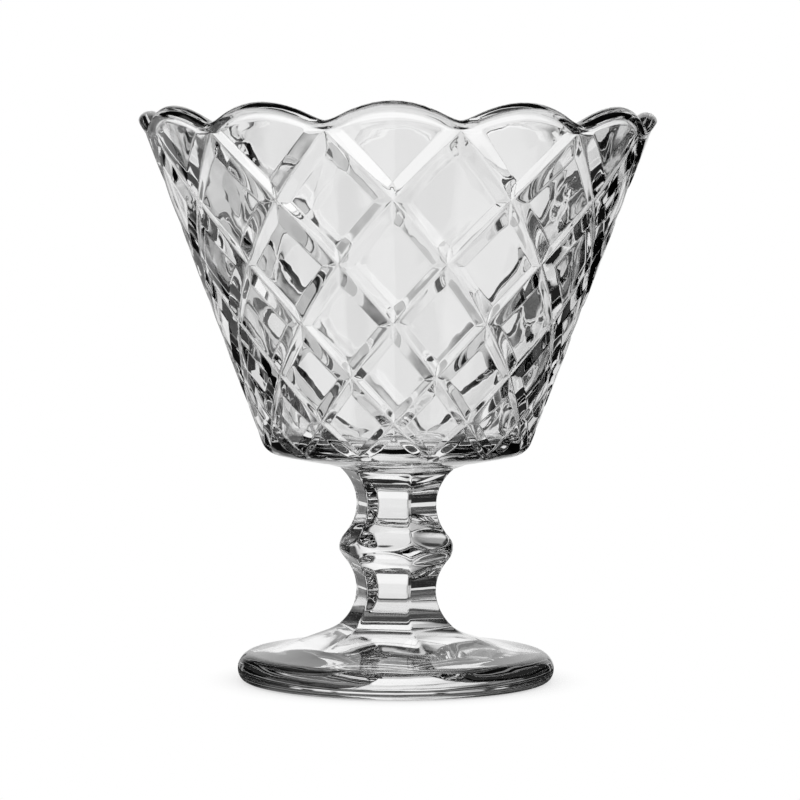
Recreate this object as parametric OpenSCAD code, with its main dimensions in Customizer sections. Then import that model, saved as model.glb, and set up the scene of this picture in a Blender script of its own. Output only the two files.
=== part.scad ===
// Pressed glass dessert goblet. A conical bowl with a scalloped lip and a lattice of
// grooves stands on a six-sided stem with a round knop, and that on a round foot.
// The three pieces are pressed on their own and sealed together hot, on flat faces.
// Millimetres, +Z up, with the origin on the table under the middle of the foot.

/* [Bowl] */
// Scallops along the lip, each one over a diamond of the lattice
scallops = 12; // [8:1:16]
// Rows of diamonds from the lip down to the base
groove_rows = 6; // [4:1:8]
// Diameter of the wall's outer cone at the height of the scallop tips
rim_d = 109.4; // [98:0.2:124]
// Diameter of the wall's outer cone at the edge of the underside
base_d = 55.4; // [48:0.2:62]
// Height of the bowl, from its seal on the stem to the scallop tips
bowl_h = 75.3; // [64:0.1:88]
// Thickness of the wall between the grooves
wall_t = 4; // [3:0.1:5]
// Thickness of the floor over the seal
floor_t = 6.5; // [4.5:0.1:9]
// Radius of the hollow corner between the wall and the floor inside
floor_fillet_r = 3.5; // [3:0.5:10]
// Depth of the grooves
groove_depth = 0.95; // [0.6:0.05:1.8]
// Height of a scallop, from the valleys beside it to its tip
scallop_h = 3.7; // [2:0.1:5.5]
// Height of the smooth lip above the lattice
lip_h = 2.8; // [2.4:0.1:4]
// How far the lip stands out from the wall
lip_proud = 0.5; // [0:0.1:0.8]
// Rise of the underside, from the seal out to its edge
base_rise = 2.9; // [1:0.1:4]
// Length of the rounded edge of the underside, each way from its corner
base_round = 1.5; // [1:0.5:5]

/* [Stem] */
// Height of the stem between its two seals
stem_h = 33.2; // [30:0.1:42]
// Width across the flats at the two waists
waist_af = 15.2; // [11:0.1:17]
// Width across the flats at the two seals
seal_af = 21.2; // [19:0.1:24]
// Diameter of the round knop halfway up the stem
knop_d = 24.1; // [23:0.1:27]
// Height of the knop's round band at the middle of a panel
knop_band = 1.7; // [1:0.1:4]
// Turn of the stem's panels about the axis, in degrees
stem_turn = 17; // [0:1:59]

/* [Foot] */
// Diameter of the foot
foot_d = 67.2; // [56:0.2:80]
// Height of the stem's seal above the table
foot_h = 11.5; // [10:0.25:14]
// Thickness of the foot at its round edge
foot_edge_t = 5.4; // [4:0.1:6.4]
// Width of the flat ring that the foot stands on
ring_w = 6.2; // [3:0.1:12]
// Depth of the hollow inside that ring
recess_depth = 1.5; // [0.6:0.1:2.5]

/* [Hidden] */
$fn = 96;
glass = [0.9, 0.92, 0.92, 0.5];

// Heights above the table of the seals and of the knop's round band
foot_seal_z = foot_h;
bowl_seal_z = foot_h + stem_h;
knop_z = foot_seal_z + stem_h / 2;
low_band_z = knop_z - knop_band / 2;
high_band_z = knop_z + knop_band / 2;

// Steps across half a diamond: each groove's bevels are one step wide on either side
steps = 3;
columns = 2 * steps * scallops;
column_angle = 360 / columns;
lattice_rings = steps * groove_rows;
// Space between the lip and the topmost crossings, which lie under the valleys
lip_gap = 0.3;
// Sharpness of the valleys between scallops: a higher power is a tighter turn
valley_power = 10;
// Steps along the rounded edge of the underside, the lip and the floor's corner
round_steps = 3;
lip_steps = 6;
fillet_steps = 4;

// Slope of the wall from upright, and the wall's thickness measured level
wall_lean = atan((rim_d - base_d) / 2 / (bowl_h - base_rise));
level_t = wall_t / cos(wall_lean);
lip_round = wall_t / 2;

// Flat under the bowl that seals on the whole end of the stem
seal_margin = 0.4;
seal_corner_r = seal_af / 2 / cos(30);
bowl_seal_r = seal_corner_r + seal_margin;

// Circle that hollows a panel: it touches the waist and passes through the edge of the
// seal and the edge of the knop's band, which sets the height of the waist
waist_r = waist_af / 2;
knop_r = knop_d / 2;
seal_reach = seal_af / 2 - waist_r;
knop_reach = knop_r - waist_r;
panel_h = low_band_z - foot_seal_z;
reach_ratio = knop_reach / seal_reach;
reach_sum = panel_h ^ 2 + knop_reach ^ 2 - reach_ratio * seal_reach ^ 2;
waist_gap = reach_sum / (panel_h + sqrt(panel_h ^ 2 + (reach_ratio - 1) * reach_sum));
scoop_r = (waist_gap ^ 2 + seal_reach ^ 2) / (2 * seal_reach);
low_waist_z = foot_seal_z + waist_gap;
high_waist_z = bowl_seal_z - waist_gap;

// The knop is turned to a barrel that clears the edges between panels at the waists
barrel_clearance = 0.3;
barrel_half_h = knop_z - low_waist_z;
barrel_sag = knop_r - waist_r / cos(30) - barrel_clearance;
knop_barrel_r = (barrel_half_h ^ 2 + barrel_sag ^ 2) / (2 * barrel_sag);

// The stem's hollow panels run on into the foot, down to a level ledge that is
// buried in the foot's cone, and up into the knop's band
ledge_r = waist_r + scoop_r;
ledge_z = low_waist_z - scoop_r;
ledge_cover = 0.3;
band_cover = knop_band / 4;

// The foot's round edge, and the ball that hollows its underside inside the ring
foot_round_r = foot_edge_t / 2;
foot_flat_r = foot_d / 2 - foot_round_r;
recess_r = foot_flat_r - ring_w;
recess_ball_r = (recess_r ^ 2 + recess_depth ^ 2) / (2 * recess_depth);

// Outer cone of the bowl's wall, with heights measured from the bowl's seal
function cone_r(z) = base_d / 2 + (z - base_rise) * tan(wall_lean);
function cone_z(r) = base_rise + (r - base_d / 2) / tan(wall_lean);

// A point at a radius and height in the plane of one column, the first facing -Y
function at_column(c, p) =
  [p[0] * sin(c * column_angle), -p[0] * cos(c * column_angle), p[1]];

// Distance of a diagonal of the lattice from the nearest groove, in steps
function off_groove(diagonal) =
  abs((diagonal % (2 * steps) + 2 * steps) % (2 * steps) - steps);

// Rings of the lattice narrow by a steady ratio, so all diamonds have one shape
top_crossing_r = cone_r(bowl_h - scallop_h - lip_h - lip_gap);
low_crossing_r = base_d / 2 + base_round * sin(wall_lean);
function ring_r(j) = top_crossing_r * (low_crossing_r / top_crossing_r) ^ (j / lattice_rings);

// A point of the lattice, sunk square to the wall where it lies on a groove
function lattice_point(c, j) =
  let (
    sunk = min(off_groove(c - j), off_groove(c + j)) == 0 ? groove_depth : 0,
    r = ring_r(j)
  )
  [r - sunk * cos(wall_lean), cone_z(r) + sunk * sin(wall_lean)];

// Height of the lip over a column: round arches with tight, rounded valleys
function lip_z(c) =
  let (t = abs((c + steps) % (2 * steps) - steps) / steps)
  bowl_h - scallop_h * (valley_power * t ^ 2 - 2 * t ^ valley_power) / (valley_power - 2);

// Round top of the lip, from outside (0 degrees) over to inside (180 degrees)
function lip_point(c, turn) =
  let (
    z = lip_z(c) - lip_round,
    half = level_t / 2,
    reach = half + (turn < 90 ? lip_proud : 0)
  )
  [cone_r(z) - half + reach * cos(turn), z + lip_round * sin(turn)];

// Rounded edge of the underside, from the underside (0) to the wall (1)
base_corner = [base_d / 2, base_rise];
base_inward = [bowl_seal_r, 0] - base_corner;
base_start = base_corner + base_round * base_inward / norm(base_inward);
base_end = base_corner + base_round * [sin(wall_lean), cos(wall_lean)];
function base_point(t) =
  (1 - t) ^ 2 * base_start + 2 * t * (1 - t) * base_corner + t ^ 2 * base_end;

// Hollow corner between the floor and the wall inside the bowl
fillet_z = floor_t + floor_fillet_r;
fillet_r = cone_r(fillet_z) - level_t - floor_fillet_r / cos(wall_lean);
function fillet_point(k) =
  let (turn = -wall_lean - (90 - wall_lean) * k / fillet_steps)
  [fillet_r + floor_fillet_r * cos(turn), fillet_z + floor_fillet_r * sin(turn)];

// The bowl's skin in rings of columns: seal, underside, wall, lip, inside, floor
bowl_rings = [
  [for (c = [0 : columns - 1]) [bowl_seal_r, 0]],
  for (k = [0 : round_steps - 1]) [for (c = [0 : columns - 1]) base_point(k / round_steps)],
  for (j = [lattice_rings : -1 : 0]) [for (c = [0 : columns - 1]) lattice_point(c, j)],
  [for (c = [0 : columns - 1]) [cone_r(lip_z(c) - lip_h), lip_z(c) - lip_h]],
  for (k = [0 : lip_steps]) [for (c = [0 : columns - 1]) lip_point(c, 180 * k / lip_steps)],
  for (k = [0 : fillet_steps]) [for (c = [0 : columns - 1]) fillet_point(k)],
];
first_lattice_ring = 1 + round_steps;

// The two triangles between columns c and c + 1, and rings i and i + 1. In the
// lattice they share the diagonal that lies nearer to a groove.
function skin_triangles(i, c) =
  let (
    next = (c + 1) % columns,
    low_left = i * columns + c,
    low_right = i * columns + next,
    high_left = low_left + columns,
    high_right = low_right + columns,
    j = lattice_rings - (i - first_lattice_ring) - 1,
    falling = j >= 0 && off_groove(c - j) <= off_groove(c + j + 1)
  )
  falling
    ? [[low_left, high_left, low_right], [high_left, high_right, low_right]]
    : [[low_left, high_left, high_right], [low_left, high_right, low_right]];

// Conical bowl with the lattice of grooves outside and a smooth inside
module bowl() {
  last_ring = len(bowl_rings) - 1;
  skin = [
    for (i = [0 : last_ring - 1], c = [0 : columns - 1]) each skin_triangles(i, c),
    [for (c = [0 : columns - 1]) c],
    [for (c = [columns - 1 : -1 : 0]) last_ring * columns + c],
  ];
  color(glass)
    translate([0, 0, bowl_seal_z])
      polyhedron([for (ring = bowl_rings, c = [0 : columns - 1]) at_column(c, ring[c])], skin);
}

// Six-sided column between two heights: three pairs of panels, each pair hollowed by
// two circles that touch a waist
module six_panels(low_z, high_z, waist_z) {
  intersection_for (k = [0 : 2])
    rotate([0, 0, stem_turn + 60 * k])
      rotate([90, 0, 0])
        linear_extrude(height = 4 * ledge_r, center = true)
          difference() {
            translate([-ledge_r, low_z]) square([2 * ledge_r, high_z - low_z]);
            for (side = [-1, 1])
              translate([side * ledge_r, waist_z]) circle(scoop_r);
          }
}

// Outline with free room at the ends, turned down to a barrel from waist to waist
module knop_outline() {
  difference() {
    translate([0, foot_seal_z]) square([2 * ledge_r, stem_h]);
    difference() {
      translate([waist_r, low_waist_z]) square([2 * ledge_r, high_waist_z - low_waist_z]);
      translate([knop_r - knop_barrel_r, knop_z]) circle(knop_barrel_r);
    }
  }
}

// Six-sided stem with hollow panels, and a knop that stays round
module stem() {
  color(glass)
    intersection() {
      union() {
        six_panels(foot_seal_z, low_band_z + band_cover, low_waist_z);
        translate([0, 0, low_band_z]) cylinder(r = 2 * ledge_r, h = knop_band);
        six_panels(high_band_z - band_cover, bowl_seal_z, high_waist_z);
      }
      rotate_extrude() knop_outline();
    }
}

// Outline of the round foot: a full round edge and a cone that climbs to the stem's
// flare, and ends inside it
module foot_outline() {
  shoulder_z = ledge_z + ledge_cover;
  cone_end_z = (shoulder_z + foot_seal_z) / 2;
  translate([foot_flat_r, foot_round_r]) circle(foot_round_r);
  polygon([
    [0, 0],
    [foot_flat_r, 0],
    [foot_flat_r, foot_edge_t],
    [ledge_r, shoulder_z],
    [seal_af / 2, cone_end_z],
    [0, cone_end_z],
  ]);
}

// Round foot, with the six-sided flare that carries the stem and a hollow underneath
module foot() {
  color(glass)
    difference() {
      union() {
        rotate_extrude() foot_outline();
        six_panels(ledge_z, foot_seal_z, low_waist_z);
      }
      translate([0, 0, recess_depth - recess_ball_r]) sphere(recess_ball_r);
    }
}

bowl();
stem();
foot();
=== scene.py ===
# Pressed glass dessert goblet: bowl, stem and foot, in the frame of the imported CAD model.
# Lengths in the sections are millimetres, and each mesh is brought to metres at its end.
from math import atan2, cos, exp, pi, radians, sin, sqrt

import bmesh
import bpy
from mathutils import Matrix, Vector, noise


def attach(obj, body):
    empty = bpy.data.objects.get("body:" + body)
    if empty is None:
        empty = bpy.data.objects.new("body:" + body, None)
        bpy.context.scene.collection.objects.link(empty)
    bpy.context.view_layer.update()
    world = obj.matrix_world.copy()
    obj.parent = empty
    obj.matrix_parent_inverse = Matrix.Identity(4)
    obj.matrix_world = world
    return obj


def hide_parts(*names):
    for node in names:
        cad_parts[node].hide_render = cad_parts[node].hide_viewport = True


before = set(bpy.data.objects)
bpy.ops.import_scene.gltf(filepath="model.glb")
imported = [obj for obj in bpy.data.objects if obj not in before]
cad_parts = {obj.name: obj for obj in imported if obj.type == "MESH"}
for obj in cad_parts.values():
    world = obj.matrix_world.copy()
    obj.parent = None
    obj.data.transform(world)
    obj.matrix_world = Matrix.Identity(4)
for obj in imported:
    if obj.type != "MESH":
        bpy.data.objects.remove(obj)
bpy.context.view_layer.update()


# Bowl: the conical cup. Clear soda-lime glass pressed in a mould, which left V grooves round
# flat diamonds outside and a smooth plunger face inside, then fire-polished, which drew the
# scalloped lip to a round bead. Its underside is sealed hot on the end of the stem.
SCALLOPS = 12
ROWS = 6
TIP_Z = 120.0
SEAL_Z = 44.7

# The wall: its radius at one height, how it widens upwards and where it rounds in at the base
CONE_R, CONE_Z, CONE_SLOPE = 28.1, 49.4, 0.3775
ROUND_Z, ROUNDING = 50.2, 0.22
WALL_T = 4.2
FLOOR_Z, FLOOR_FILLET = 51.2, 3.5

# The lattice: its top and bottom, how fast its rows get lower, and its dents from the mould
TOP_ROW_Z, LOW_ROW_Z, ROW_POWER = 113.9, 48.77, 1.27
DENT, DENT_SPAN = 0.05, 9.0

# One groove and one diamond: widths are shares of a diamond's side
GROOVE_DEPTH, GROOVE_ROUND = 0.95, 0.012
BEVEL, BEVEL_ROUND = 0.155, 0.05
CROWN = 0.05

# The lip: its scallops, its height and how much of the scallops its lower edge follows
SCALLOP_DROP, VALLEY_POWER = 3.7, 10
LIP_H, LIP_PROUD, LIP_FOLLOW, LIP_CLEAR = 3.6, 0.5, 0.81, 0.15
CORNER_START, BEAD_START = 0.06, 0.36


def cone_radius(z):
    return CONE_R + CONE_SLOPE * (z - CONE_Z)


def wall_radius(z):
    return cone_radius(z) - ROUNDING * max(0, ROUND_Z - z) ** 2


def row_height(row):
    return LOW_ROW_Z + (TOP_ROW_Z - LOW_ROW_Z) * max(0, 1 - row / ROWS) ** ROW_POWER


def groove(off):
    """Depth of the glass cut away at a distance off a groove's middle, in diamond sides."""
    rounded = sqrt(off * off + GROOVE_ROUND ** 2)
    flank = 1 - rounded / BEVEL
    return GROOVE_DEPTH * (flank + sqrt(flank * flank + BEVEL_ROUND ** 2)) / 2


def lattice_depth(column, row):
    """Depth at a place of the lattice: column counts scallops, row counts diamonds."""
    falling = abs((column - row / 2) % 1 - 0.5)
    rising = abs((column + row / 2) % 1 - 0.5)
    s = min(1, (0.5 - falling) / (0.5 - BEVEL))
    t = min(1, (0.5 - rising) / (0.5 - BEVEL))
    return max(groove(falling), groove(rising)) - CROWN * (1 - s * s) * (1 - t * t)


def column_at(turn):
    return turn / (2 * pi) * SCALLOPS


def scallop_drop(turn):
    """How far the lip lies under the scallop tips."""
    t = abs((column_at(turn) + 0.5) % 1 - 0.5) * 2
    n = VALLEY_POWER
    return SCALLOP_DROP * (n * t * t - 2 * t ** n) / (n - 2)


def turned(turn, r, z):
    """A point by its turn round the axis, counted from the front to the right."""
    return Vector((r * sin(turn), -r * cos(turn), z))


def all_of(bm):
    return list(bm.verts) + list(bm.edges) + list(bm.faces)


def lay_copy(bm, shape, step):
    """Lays a copy of a flat shape a step away from it."""
    copy = bmesh.ops.duplicate(bm, geom=shape)["geom"]
    bmesh.ops.translate(bm, vec=step, verts=[v for v in copy if isinstance(v, bmesh.types.BMVert)])


def draw_ring(bm, edges, place):
    """Extrudes a closed ring of edges to a new ring, put where place(turn) says."""
    made = bmesh.ops.extrude_edge_only(bm, edges=edges)["geom"]
    for v in made:
        if isinstance(v, bmesh.types.BMVert):
            turn = atan2(v.co.x, -v.co.y)
            v.co = turned(turn, *place(turn))
    return [e for e in made if isinstance(e, bmesh.types.BMEdge)]


def level_ring(r, z):
    def place(turn):
        return r, z
    return place


def finish_piece(bm, name, seal_heights):
    """Welds the mesh of a piece, turns its faces outwards and makes it an object. Its seals get the second
    slot.
    """
    bmesh.ops.remove_doubles(bm, verts=bm.verts, dist=1e-4)
    bmesh.ops.recalc_face_normals(bm, faces=bm.faces)
    for face in bm.faces:
        face.smooth = True
        z = face.calc_center_median().z
        if len(face.verts) > 8 and any(abs(z - seal_z) < 1e-3 for seal_z in seal_heights):
            face.material_index = 1
            face.smooth = False
    bmesh.ops.scale(bm, vec=(0.001, 0.001, 0.001), verts=bm.verts)
    mesh = bpy.data.meshes.new(name)
    bm.to_mesh(mesh)
    bm.free()
    piece = bpy.data.objects.new(name, mesh)
    bpy.context.scene.collection.objects.link(piece)
    return piece


# One diamond, with lines close together along the groove's bottom and the bevel's edge
HALF_LINES = [0, 0.010, 0.025, 0.06, 0.10, 0.135, 0.148, 0.160, 0.175, 0.21, 0.28, 0.36, 0.43, 0.5]
lines = HALF_LINES + [1 - x for x in reversed(HALF_LINES[:-1])]
cuts = len(lines) - 1
bm = bmesh.new()
bmesh.ops.create_grid(bm, x_segments=cuts, y_segments=cuts, size=0.5)
for v in bm.verts:
    a = lines[round((v.co.x + 0.5) * cuts)] - 0.5
    b = lines[round((v.co.y + 0.5) * cuts)] - 0.5
    v.co = ((a + b) / 2, b - a, 0)

# A column of diamonds, cut level at both ends, and then all the columns side by side
diamond = all_of(bm)
for row in range(1, ROWS + 1):
    lay_copy(bm, diamond, (row % 2 / 2, row, 0))
for height, side in ((0, -1), (ROWS, 1)):
    bmesh.ops.bisect_plane(bm, geom=all_of(bm), dist=1e-5, plane_co=(0, height, 0), plane_no=(0, side, 0),
                           clear_outer=True)
gore = all_of(bm)
for k in range(1, SCALLOPS):
    lay_copy(bm, gore, (k, 0, 0))
bmesh.ops.remove_doubles(bm, verts=bm.verts, dist=1e-4)

# The flat lattice rolled up into the cone of the wall, with its grooves sunk square to it
lean = atan2(CONE_SLOPE, 1)
for v in bm.verts:
    column, row = v.co.x, v.co.y
    turn = column * 2 * pi / SCALLOPS
    z = row_height(row)
    dent = DENT * noise.noise(turned(turn, cone_radius(z), z) / DENT_SPAN) * min(1, row, ROWS - row)
    deep = lattice_depth(column, row) + dent
    v.co = turned(turn, wall_radius(z) - deep * cos(lean), z + deep * sin(lean))
bmesh.ops.remove_doubles(bm, verts=bm.verts, dist=1e-3)
middle_z = (TIP_Z + SEAL_Z) / 2
rim = [e for e in bm.edges if e.is_boundary and e.verts[0].co.z > middle_z]
base = [e for e in bm.edges if e.is_boundary and e.verts[0].co.z < middle_z]


# From the lattice's upper edge to the lip's lower edge
def lip_low(turn):
    return max(TIP_Z - LIP_H - LIP_FOLLOW * scallop_drop(turn), TOP_ROW_Z + LIP_CLEAR)


def above_lattice(share):
    def place(turn):
        deep = lattice_depth(column_at(turn), 0) * (1 - share)
        start = TOP_ROW_Z + deep * sin(lean)
        z = start + share * (lip_low(turn) - start)
        return cone_radius(z) - deep * cos(lean), z
    return place


for k in range(1, 7):
    rim = draw_ring(bm, rim, above_lattice(k / 6))


# Lip: a hollow corner out of the wall, a round bead over the top, and down the inside
def over_lip(out, up):
    def place(turn):
        low = lip_low(turn)
        high = TIP_Z - scallop_drop(turn)
        return cone_radius(low + min(up, 0.5) * (high - low)) + out, low + up * (high - low)
    return place


level_t = WALL_T / cos(lean)
for k in range(1, 6):
    t = k / 5
    proud = LIP_PROUD * t * t * (3 - 2 * t)
    rim = draw_ring(bm, rim, over_lip(proud, CORNER_START + (BEAD_START - CORNER_START) * t))
bead_middle = (LIP_PROUD - level_t) / 2
bead_half = (LIP_PROUD + level_t) / 2
for k in range(1, 17):
    a = pi * k / 16
    up = BEAD_START + (1 - BEAD_START) * sin(a)
    rim = draw_ring(bm, rim, over_lip(bead_middle + bead_half * cos(a), up))

# Inside of the wall, left smooth by the plunger, with the slow ripple of chilled glass. The ripple
# grows towards both sides, and most towards the left
RIPPLE, SIDE_RIPPLE, LEFT_RIPPLE, RIPPLE_SPAN = 0.34, 0.2, 0.4, 14.0
FINE_RIPPLE, FINE_SPAN = 0.09, 6.0


def ripple(turn, r, z):
    p = turned(turn, r, z)
    broad = RIPPLE + SIDE_RIPPLE * abs(sin(turn)) + LEFT_RIPPLE * max(0, -sin(turn))
    slow = noise.noise(Vector((p.x, p.y, p.z / 2)) / RIPPLE_SPAN)
    return broad * slow + FINE_RIPPLE * noise.noise(p / FINE_SPAN)


def inside(z, share):
    def place(turn):
        low = lip_low(turn)
        start = low + BEAD_START * (TIP_Z - scallop_drop(turn) - low)
        height = start + share * (z - start)
        r = cone_radius(height) - level_t
        return r + ripple(turn, r, height) * min(1, 6 * share), height
    return place


fillet_z = FLOOR_Z + FLOOR_FILLET
wall_end_z = fillet_z - FLOOR_FILLET * sin(lean)
for k in range(1, 45):
    rim = draw_ring(bm, rim, inside(wall_end_z, k / 44))
fillet_r = cone_radius(fillet_z) - level_t - FLOOR_FILLET / cos(lean)
for k in range(1, 11):
    a = -lean - (pi / 2 - lean) * k / 10
    rim = draw_ring(bm, rim, level_ring(fillet_r + FLOOR_FILLET * cos(a), fillet_z + FLOOR_FILLET * sin(a)))
for k in range(1, 9):
    rim = draw_ring(bm, rim, level_ring(fillet_r * (1 - k / 8.2), FLOOR_Z))
bmesh.ops.holes_fill(bm, edges=rim, sides=0)

# Rounded edge of the underside, in which the grooves run out, and the seal's outline
SEAL_AF, STEM_TURN, SIDE_POWER = 21.2, radians(17), 60
RUN_OUT = 7
low_z = row_height(ROWS)
edge_path = [(wall_radius(low_z), low_z), (26.5, 48.1), (25.1, 47.6), (22.8, 47.15), (19.3, 46.5),
             (15.3, 45.85)]


def along(path, t):
    """A smooth curve through the points of a path: t counts its points."""
    k = min(int(t), len(path) - 2)
    u = t - k
    p0, p1, p2, p3 = (Vector(path[min(max(i, 0), len(path) - 1)]) for i in range(k - 1, k + 3))
    bend = 2 * p0 - 5 * p1 + 4 * p2 - p3 + u * (3 * p1 - p0 - 3 * p2 + p3)
    return 0.5 * (2 * p1 + u * (p2 - p0 + u * bend))


def six_sided(turn, across):
    """Radius of a hexagon with softened corners, by its half width across the flats."""
    total = sum(abs(cos(turn - STEM_TURN - pi / 6 - k * pi / 3)) ** SIDE_POWER for k in range(3))
    return across / total ** (1 / SIDE_POWER)


def under_ring(r, z, share):
    def place(turn):
        deep = lattice_depth(column_at(turn), ROWS) * share
        return r - deep * cos(lean), z + deep * sin(lean)
    return place


def to_seal(share):
    end_r, end_z = edge_path[-1]

    def place(turn):
        return end_r + share * (six_sided(turn, SEAL_AF / 2) - end_r), end_z + share * (SEAL_Z - end_z)
    return place


for k in range(1, 4 * (len(edge_path) - 1) + 1):
    base = draw_ring(bm, base, under_ring(*along(edge_path, k / 4), max(0, 1 - k / RUN_OUT)))
for k in range(1, 5):
    base = draw_ring(bm, base, to_seal(k / 4))
bmesh.ops.holes_fill(bm, edges=base, sides=0)
bowl = finish_piece(bm, "bowl_glass", [SEAL_Z])


def linear(code):
    """Linear colour of an sRGB hex value."""
    parts = [int(code[i:i + 2], 16) / 255 for i in (1, 3, 5)]
    return [c / 12.92 if c <= 0.04045 else ((c + 0.055) / 1.055) ** 2.4 for c in parts] + [1.0]


def empty_tree(owner):
    """Node tree of a new material or world, with nothing in it."""
    owner.use_nodes = True
    owner.node_tree.nodes.clear()
    return owner.node_tree


def add(tree, kind, ins=(), **settings):
    """Adds a node, sets its sockets and settings by name, and puts a link or a number in sockets."""
    node = tree.nodes.new(kind)
    for key, value in settings.items():
        if key in node.inputs:
            node.inputs[key].default_value = value
        else:
            setattr(node, key, value)
    for socket, source in ins:
        if isinstance(source, (int, float)):
            node.inputs[socket].default_value = source
        else:
            tree.links.new(node.inputs[socket], source)
    return node


# Pressed soda-lime glass, fire-polished: colourless, clear and fully glossy, so the eye sees the room
# bent through it. The chilled skin keeps a faint waviness, which makes the lines it bends waver.
WAVE, WAVE_DEPTH = 5.0, 0.03
glass = bpy.data.materials.new("pressed_soda_lime_glass")
tree = empty_tree(glass)
spot = add(tree, "ShaderNodeTexCoord")
waves = add(tree, "ShaderNodeTexNoise", [("Vector", spot.outputs["Object"])], Scale=1000 / WAVE, Detail=1.5)
skin = add(tree, "ShaderNodeBump", [("Height", waves.outputs["Fac"])], Strength=1.0,
           Distance=WAVE_DEPTH / 1000)
shader = add(tree, "ShaderNodeBsdfPrincipled", [("Normal", skin.outputs["Normal"])],
             **{"Base Color": linear("#FEFEFE"), "Roughness": 0.0, "IOR": 1.52, "Transmission Weight": 1.0})
add(tree, "ShaderNodeOutputMaterial", [("Surface", shader.outputs["BSDF"])])

# Fused glass, where two bodies have run into one: the eye sees no face there
seal = bpy.data.materials.new("fused_glass_seal")
tree = empty_tree(seal)
clear = add(tree, "ShaderNodeBsdfTransparent")
add(tree, "ShaderNodeOutputMaterial", [("Surface", clear.outputs["BSDF"])])

bowl.data.materials.append(glass)
bowl.data.materials.append(seal)
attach(bowl, "root")
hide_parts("bowl")


# Stem: the six-sided column with hollow panels and a round knop at half height. Clear glass,
# pressed on its own, and sealed hot to the bowl above and the foot below.
FOOT_SEAL_Z = 11.5
KNOP_Z, KNOP_R, BARREL_R, KNOP_REACH = 28.1, 12.05, 8.0, 5.0
WAIST_R, SCOOP_R, WAIST_GAP = 7.6, 10.4, 7.5
STEM_STEPS = 144
RING_SEGMENTS = 288


def panel_reach(z):
    """Half width across the flats: each panel is hollowed by a circle round its waist."""
    waist = FOOT_SEAL_Z + WAIST_GAP if z < KNOP_Z else SEAL_Z - WAIST_GAP
    off = min(abs(z - waist), 0.97 * SCOOP_R)
    return WAIST_R + SCOOP_R - sqrt(SCOOP_R ** 2 - off ** 2)


def stem_ring(z):
    """The panels, cut back to the knop's barrel where they reach past it."""
    off = min(abs(z - KNOP_Z), 0.9 * BARREL_R)
    knop = KNOP_R - BARREL_R + sqrt(BARREL_R ** 2 - off ** 2)
    near = exp(-((z - KNOP_Z) / KNOP_REACH) ** 8)

    def place(turn):
        panel = six_sided(turn, panel_reach(z))
        return (panel ** -SIDE_POWER + near * knop ** -SIDE_POWER) ** (-1 / SIDE_POWER), z
    return place


def start_ring(place):
    """A new mesh with one filled ring, put where place(turn) says, and the ring's edges."""
    bm = bmesh.new()
    bmesh.ops.create_circle(bm, segments=RING_SEGMENTS, radius=SEAL_AF / 2)
    bmesh.ops.rotate(bm, verts=bm.verts, matrix=Matrix.Rotation(STEM_TURN, 3, "Z"))
    for v in bm.verts:
        turn = atan2(v.co.x, -v.co.y)
        v.co = turned(turn, *place(turn))
    ring = list(bm.edges)
    bmesh.ops.holes_fill(bm, edges=ring, sides=0)
    return bm, ring


bm, ring = start_ring(stem_ring(FOOT_SEAL_Z))
for k in range(1, STEM_STEPS + 1):
    ring = draw_ring(bm, ring, stem_ring(FOOT_SEAL_Z + (SEAL_Z - FOOT_SEAL_Z) * k / STEM_STEPS))
bmesh.ops.holes_fill(bm, edges=ring, sides=0)
stem = finish_piece(bm, "stem_glass", [FOOT_SEAL_Z, SEAL_Z])
stem.data.materials.append(glass)
stem.data.materials.append(seal)
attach(stem, "root")
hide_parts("stem")


# Foot: the round foot with a full round edge. Clear pressed glass; its top takes up the stem's
# six-sided flare and fades to a round cone, and a shallow hollow lies inside the ring it stands on.
FOOT_R, WIDEST_Z = 33.5, 2.4
EDGE_TOP_R, EDGE_TOP_H, EDGE_LOW_R = 3.6, 3.5, 1.7
STAND_RADII = (28.0, 25.6)
RECESS_R, RECESS_DEPTH = 25.0, 1.5

# The top from the seal outwards: radius, height and how six-sided it is
foot_path = [(SEAL_AF / 2 / cos(pi / 6), FOOT_SEAL_Z, 1), (13.3, 10.85, 1), (14.54, 10.25, 1),
             (16.2, 9.6, 0.95), (18.0, 8.92, 0.82), (19.7, 8.28, 0.6), (21.6, 7.55, 0.35),
             (24.6, 6.75, 0.12), (27.6, 6.2, 0), (29.9, 5.88, 0)]


def foot_ring(r, z, six):
    corner = six_sided(STEM_TURN, 1)

    def place(turn):
        return r * (1 - six + six * six_sided(turn, 1) / corner), z
    return place


bm, ring = start_ring(foot_ring(six_sided(STEM_TURN, SEAL_AF / 2), FOOT_SEAL_Z, 1))
for k in range(1, 4 * (len(foot_path) - 1) + 1):
    ring = draw_ring(bm, ring, foot_ring(*along(foot_path, k / 4)))
for k in range(2, 15):
    a = pi / 2 * (1 - k / 14)
    r = FOOT_R - EDGE_TOP_R * (1 - cos(a))
    ring = draw_ring(bm, ring, level_ring(r, WIDEST_Z + EDGE_TOP_H * sin(a)))
for k in range(1, 13):
    a = pi / 2 * k / 12
    r = FOOT_R - EDGE_LOW_R * (1 - cos(a))
    ring = draw_ring(bm, ring, level_ring(r, WIDEST_Z * (1 - sin(a))))
for r in STAND_RADII:
    ring = draw_ring(bm, ring, level_ring(r, 0))
for k in range(1, 24):
    share = 1 - k / 24
    ring = draw_ring(bm, ring, level_ring(RECESS_R * share, RECESS_DEPTH * (1 - share * share)))
bmesh.ops.holes_fill(bm, edges=ring, sides=0)
foot = finish_piece(bm, "foot_glass", [FOOT_SEAL_Z])
foot.data.materials.append(glass)
foot.data.materials.append(seal)
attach(foot, "root")
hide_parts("foot")


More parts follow.
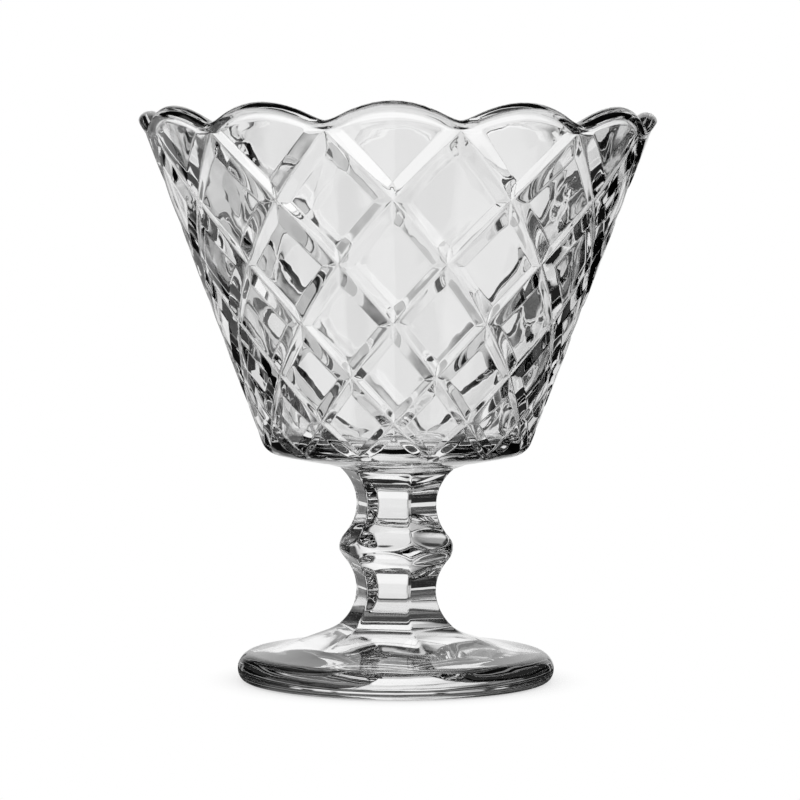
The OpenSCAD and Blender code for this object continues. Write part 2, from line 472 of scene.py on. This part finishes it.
# Floor and light: a white paper table in a white room, with no lamps. Clear glass shows only what is
# round it, so the rays that pass it or glance off it see screens and white boards with dark gaps
# between, as glass is lit in a studio. The floor is in metres.
bm = bmesh.new()
bmesh.ops.create_circle(bm, cap_ends=True, segments=96, radius=3.0)
mesh = bpy.data.meshes.new("floor")
bm.to_mesh(mesh)
bm.free()
floor = bpy.data.objects.new("floor", mesh)
bpy.context.scene.collection.objects.link(floor)
floor.location.z = -0.0002


def screens(tree, degrees, stops):
    """Brightness along a row of screens, from (degrees round from straight behind, level) stops."""
    place = add(tree, "ShaderNodeMapRange", [("Value", degrees)], **{"From Min": -180.0, "From Max": 180.0})
    ramp = add(tree, "ShaderNodeValToRGB", [("Fac", place.outputs["Result"])])
    elements = ramp.color_ramp.elements
    while len(elements) < len(stops):
        elements.new(0.5)
    for element, (turn, level) in zip(elements, stops):
        element.position = (turn + 180) / 360
        element.color = (level, level, level, 1)
    return ramp.outputs["Color"]


# White boards, the same on the left and on the right. The side boards stand as well as lie
corner_boards = [(34.5, 0), (35, 0.85), (55, 0.85), (55.5, 0)]
side_boards = [(73, 0), (74, 1), (107, 1), (108, 0), (119, 0), (120, 1), (151, 1), (152, 0), (165, 0),
               (166, 1)]
foot_boards = [(0, 0.2), (50, 0.2), (60, 0), (120, 0), (130, 0.4)]

# White paper: matt and shaded under the foot, and plain white further out
paper = bpy.data.materials.new("white_paper_floor")
tree = empty_tree(paper)
spot = add(tree, "ShaderNodeTexCoord")
far = add(tree, "ShaderNodeVectorMath", [(0, spot.outputs["Object"])], operation="LENGTH").outputs["Value"]
fade = add(tree, "ShaderNodeMapRange", [("Value", far)], interpolation_type="SMOOTHSTEP",
           **{"From Min": 0.02, "From Max": 0.042})
matt = add(tree, "ShaderNodeBsdfDiffuse", Color=linear("#FAFAFA"))
white = add(tree, "ShaderNodeEmission", Color=linear("#FFFFFF"), Strength=1.0)
table = add(tree, "ShaderNodeMixShader",
            [(0, fade.outputs["Result"]), (1, matt.outputs["BSDF"]), (2, white.outputs["Emission"])])

# The boards that lie on it, each kind from one distance to where it is full, and one under the foot
spread = ((corner_boards, 0.22, 0.24), (side_boards, 0.07, 0.09), (foot_boards, 0.040, 0.034))
split = add(tree, "ShaderNodeSeparateXYZ", [("Vector", spot.outputs["Object"])])
angle = add(tree, "ShaderNodeMath", [(0, split.outputs["X"]), (1, split.outputs["Y"])], operation="ARCTAN2")
turn = add(tree, "ShaderNodeMath", [(0, angle.outputs["Value"])], operation="DEGREES")
aside = add(tree, "ShaderNodeMath", [(0, turn.outputs["Value"])], operation="ABSOLUTE")
laid = add(tree, "ShaderNodeMapRange", [("Value", far)], interpolation_type="SMOOTHSTEP",
           **{"From Min": 0.028, "From Max": 0.023, "To Max": 0.85}).outputs["Result"]
for stops, start, full in spread:
    reach = add(tree, "ShaderNodeMapRange", [("Value", far)], interpolation_type="SMOOTHSTEP",
                **{"From Min": start, "From Max": full})
    board = add(tree, "ShaderNodeMath", [(0, screens(tree, aside.outputs["Value"], stops)),
                                         (1, reach.outputs["Result"])], operation="MULTIPLY")
    laid = add(tree, "ShaderNodeMath", [(0, laid), (1, board.outputs["Value"])],
               operation="MAXIMUM").outputs["Value"]

# Outer faces mirror the boards on the left only: the boards on the right are hidden from reflected rays and
# show only through the glass, which paints out their reflection and paints the right side darker
ray = add(tree, "ShaderNodeLightPath")
left = add(tree, "ShaderNodeMath", [(0, split.outputs["X"]), (1, 0.0)], operation="LESS_THAN")
shown_unless_painted_out = add(tree, "ShaderNodeMath", [(0, ray.outputs["Is Transmission Ray"]), (1, left.outputs["Value"])],
            operation="MAXIMUM")
boards = add(tree, "ShaderNodeMath", [(0, laid), (1, shown_unless_painted_out.outputs["Value"])], operation="MULTIPLY")

# Between the boards the floor is dark by the foot, and further out the room shows in its place
near = add(tree, "ShaderNodeMapRange", [("Value", far)], interpolation_type="SMOOTHSTEP",
           **{"From Min": 0.058, "From Max": 0.050})
dark = add(tree, "ShaderNodeEmission", Color=linear("#FFFFFF"), Strength=0.05)
gone = add(tree, "ShaderNodeBsdfTransparent")
gap = add(tree, "ShaderNodeMixShader",
          [(0, near.outputs["Result"]), (1, gone.outputs["BSDF"]), (2, dark.outputs["Emission"])])
pale = add(tree, "ShaderNodeEmission", Color=linear("#FFFFFF"), Strength=0.95)
seen = add(tree, "ShaderNodeMixShader",
           [(0, boards.outputs["Value"]), (1, gap.outputs["Shader"]), (2, pale.outputs["Emission"])])
by_glass = add(tree, "ShaderNodeMath",
               [(0, ray.outputs["Is Glossy Ray"]), (1, ray.outputs["Is Transmission Ray"])],
               operation="MAXIMUM")
both = add(tree, "ShaderNodeMixShader",
           [(0, by_glass.outputs["Value"]), (1, table.outputs["Shader"]), (2, seen.outputs["Shader"])])
add(tree, "ShaderNodeOutputMaterial", [("Surface", both.outputs["Shader"])])
floor.data.materials.append(paper)

# Rows of screens from low to high: the degrees up at which each starts, how softly, its stops, and the
# boards that stand in it
rows = [
    (-90, 1, [(-180, 0.45), (180, 0.45)], None),
    (-68, 4, [(-180, 0.05), (-33, 0.05), (-30, 0.7), (0, 0.85), (22, 0.75), (24, 0.05), (180, 0.05)], None),
    (-30, 4, [(-180, 0.03), (-36, 0.03), (-33, 0.4), (-20, 0.55), (-12, 0.7), (0, 0.85), (10, 0.8),
              (19, 0.7), (20, 0.01), (180, 0.01)], None),
    (-10, 6, [(-180, 0.02), (-34, 0.02), (-33.5, 0.85), (-28.5, 0.8), (-28, 0.01), (-25, 0.01),
              (-24.6, 0.55), (-14, 0.6), (-13.7, 0.01), (-11, 0.01), (-10.7, 0.74), (-4, 0.84), (0, 0.88),
              (10, 0.82), (13, 0.76), (13.3, 0.01), (15, 0.01), (15.3, 0.72), (20, 0.65), (20.4, 0.01),
              (24, 0.01), (24.4, 0.8), (28, 0.8), (28.4, 0.01), (180, 0.01)], side_boards),
    (6, 4, [(-180, 0.02), (-30, 0.02), (-26, 0.15), (-20, 0.45), (-15, 0.75), (-10, 0.95), (0, 1.0),
            (10, 1.0), (20, 0.9), (27, 0.6), (29, 0.02), (180, 0.02)], None),
    (21, 3, [(-180, 0.02), (-142, 0.02), (-138, 0.5), (-84, 0.5), (-80, 0.02), (-24, 0.02), (-20, 0.8),
             (-10, 1.0), (0, 1.0), (10, 1.0), (18, 0.95), (27, 0.5), (29, 0.02), (180, 0.02)], None),
    (38, 3, [(-180, 0.05), (-144, 0.05), (-136, 0.77), (-84, 0.77), (-76, 0.05), (-22, 0.05), (-19, 0.6),
             (-10, 0.6), (-7, 0.05), (180, 0.05)], None),
    (56, 4, [(-180, 0.04), (180, 0.04)], None),
]
world = bpy.data.worlds.new("studio")
bpy.context.scene.world = world
tree = empty_tree(world)
way = add(tree, "ShaderNodeTexCoord")
split = add(tree, "ShaderNodeSeparateXYZ", [("Vector", way.outputs["Generated"])])
angle = add(tree, "ShaderNodeMath", [(0, split.outputs["X"]), (1, split.outputs["Y"])], operation="ARCTAN2")
turn = add(tree, "ShaderNodeMath", [(0, angle.outputs["Value"])], operation="DEGREES")
aside = add(tree, "ShaderNodeMath", [(0, turn.outputs["Value"])], operation="ABSOLUTE")
room = None
for lowest, soft, stops, standing in rows:
    level = screens(tree, turn.outputs["Value"], stops)
    if standing:
        raised = screens(tree, aside.outputs["Value"], standing)
        level = add(tree, "ShaderNodeMix", [(6, level), (7, raised)], data_type="RGBA", blend_type="LIGHTEN",
                    Factor=1.0).outputs[2]
    if room is None:
        room = level
    else:
        low, high = sin(radians(lowest - soft / 2)), sin(radians(lowest + soft / 2))
        rise = add(tree, "ShaderNodeMapRange", [("Value", split.outputs["Z"])],
                   interpolation_type="SMOOTHSTEP", **{"From Min": low, "From Max": high})
        room = add(tree, "ShaderNodeMix", [("Factor", rise.outputs["Result"]), (6, room), (7, level)],
                   data_type="RGBA").outputs[2]
studio = add(tree, "ShaderNodeBackground", [("Color", room)], Strength=1.0)
plain = add(tree, "ShaderNodeBackground", Color=linear("#FFFFFF"), Strength=1.0)
ray = add(tree, "ShaderNodeLightPath")
by_glass = add(tree, "ShaderNodeMath",
               [(0, ray.outputs["Is Glossy Ray"]), (1, ray.outputs["Is Transmission Ray"])],
               operation="MAXIMUM")
both = add(tree, "ShaderNodeMixShader",
           [(0, by_glass.outputs["Value"]), (1, plain.outputs["Background"]),
            (2, studio.outputs["Background"])])
add(tree, "ShaderNodeOutputWorld", [("Surface", both.outputs["Shader"])])


# Camera: a long lens a little under the rim, which looks slightly down and from the right. Its focal
# length and the picture's middle are in pixels of an 800 pixel frame, and its place is in metres.
FRAME_PX, FOCAL_PX, MIDDLE_PX = 800, 3173.2, 397.31
SENSOR_W = 36.0
CAMERA_TURN, CAMERA_FAR, CAMERA_Z = radians(1.1), 0.670, 0.09246
PITCH, ROLL = radians(2.843), radians(-0.209)
lens = bpy.data.cameras.new("camera")
lens.sensor_width = SENSOR_W
lens.lens = FOCAL_PX / FRAME_PX * SENSOR_W
lens.shift_x = (FRAME_PX / 2 - MIDDLE_PX) / FRAME_PX
camera = bpy.data.objects.new("camera", lens)
bpy.context.scene.collection.objects.link(camera)
camera.location = turned(CAMERA_TURN, CAMERA_FAR, CAMERA_Z)
camera.rotation_mode = "XYZ"
camera.rotation_euler = (pi / 2 - PITCH, ROLL, CAMERA_TURN)
bpy.context.scene.camera = camera
bpy.context.scene.view_settings.view_transform = "Standard"
